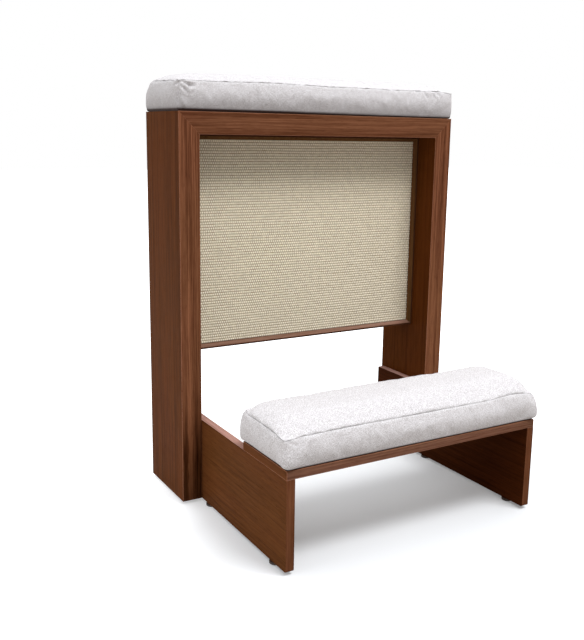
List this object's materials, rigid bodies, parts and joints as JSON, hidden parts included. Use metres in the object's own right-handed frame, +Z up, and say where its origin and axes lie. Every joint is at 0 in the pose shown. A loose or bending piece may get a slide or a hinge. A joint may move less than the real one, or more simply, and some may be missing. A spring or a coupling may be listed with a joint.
{
  "type": "prayer kneeler",
  "caption": "Free-standing prayer kneeler: wooden portal with padded arm-rest and framed woven panel, low side panels and a padded knee board on levelling glides.",
  "frame": {"origin": "on the floor, in the middle of the whole outline seen from above", "axes": "+Z up, +Y to the back, from the knee pad to the portal, +X to the right of a person kneeling"},
  "size_m": [0.6424, 0.5138, 0.8409],
  "materials": {
    "walnut": "satin lacquer",
    "beech": "raw",
    "core_board": "raw",
    "weave": "coarse weave",
    "linen": "matt",
    "foam": "soft foam",
    "dust_cloth": "matt",
    "zinc_steel": "zinc plated",
    "dark_nylon": "matt"
  },
  "bodies": {
    "frame": {"left_upright": "walnut", "right_upright": "walnut", "top_rail": "walnut", "mitre_dowels": "beech", "panel_core": "core_board", "woven_front": "weave", "woven_back": "weave", "lipping_top": "walnut", "lipping_bottom": "walnut", "lipping_left": "walnut", "lipping_right": "walnut", "panel_dowels": "beech", "left_kneeler_side": "walnut", "right_kneeler_side": "walnut", "side_screws": "zinc_steel", "knee_board": "walnut", "board_dowels": "beech", "armrest_base": "core_board", "armrest_foam": "foam", "armrest_cover": "linen", "armrest_dust_cloth": "dust_cloth", "armrest_screws": "zinc_steel", "knee_pad_base": "core_board", "knee_pad_foam": "foam", "knee_pad_cover": "linen", "knee_pad_dust_cloth": "dust_cloth", "knee_pad_screws": "zinc_steel", "glide_inserts": "zinc_steel"},
    "glide_front_left": {"foot_front_left": "dark_nylon", "stem_front_left": "zinc_steel"},
    "glide_front_right": {"foot_front_right": "dark_nylon", "stem_front_right": "zinc_steel"},
    "glide_middle_left": {"foot_middle_left": "dark_nylon", "stem_middle_left": "zinc_steel"},
    "glide_middle_right": {"foot_middle_right": "dark_nylon", "stem_middle_right": "zinc_steel"},
    "glide_post_left": {"foot_post_left": "dark_nylon", "stem_post_left": "zinc_steel"},
    "glide_post_right": {"foot_post_right": "dark_nylon", "stem_post_right": "zinc_steel"},
    "glide_rear_left": {"foot_rear_left": "dark_nylon", "stem_rear_left": "zinc_steel"},
    "glide_rear_right": {"foot_rear_right": "dark_nylon", "stem_rear_right": "zinc_steel"}
  },
  "joints": [
    {"name": "level_front_left", "type": "slide", "parent": "frame", "child": "glide_front_left", "axis": [0, 0, 1], "range_m": [-0.01, 0.0007]},
    {"name": "level_front_right", "type": "slide", "parent": "frame", "child": "glide_front_right", "axis": [0, 0, 1], "range_m": [-0.01, 0.0007]},
    {"name": "level_middle_left", "type": "slide", "parent": "frame", "child": "glide_middle_left", "axis": [0, 0, 1], "range_m": [-0.01, 0.0007]},
    {"name": "level_middle_right", "type": "slide", "parent": "frame", "child": "glide_middle_right", "axis": [0, 0, 1], "range_m": [-0.01, 0.0007]},
    {"name": "level_post_left", "type": "slide", "parent": "frame", "child": "glide_post_left", "axis": [0, 0, 1], "range_m": [-0.01, 0.0007]},
    {"name": "level_post_right", "type": "slide", "parent": "frame", "child": "glide_post_right", "axis": [0, 0, 1], "range_m": [-0.01, 0.0007]},
    {"name": "level_rear_left", "type": "slide", "parent": "frame", "child": "glide_rear_left", "axis": [0, 0, 1], "range_m": [-0.01, 0.0007]},
    {"name": "level_rear_right", "type": "slide", "parent": "frame", "child": "glide_rear_right", "axis": [0, 0, 1], "range_m": [-0.01, 0.0007]}
  ]
}
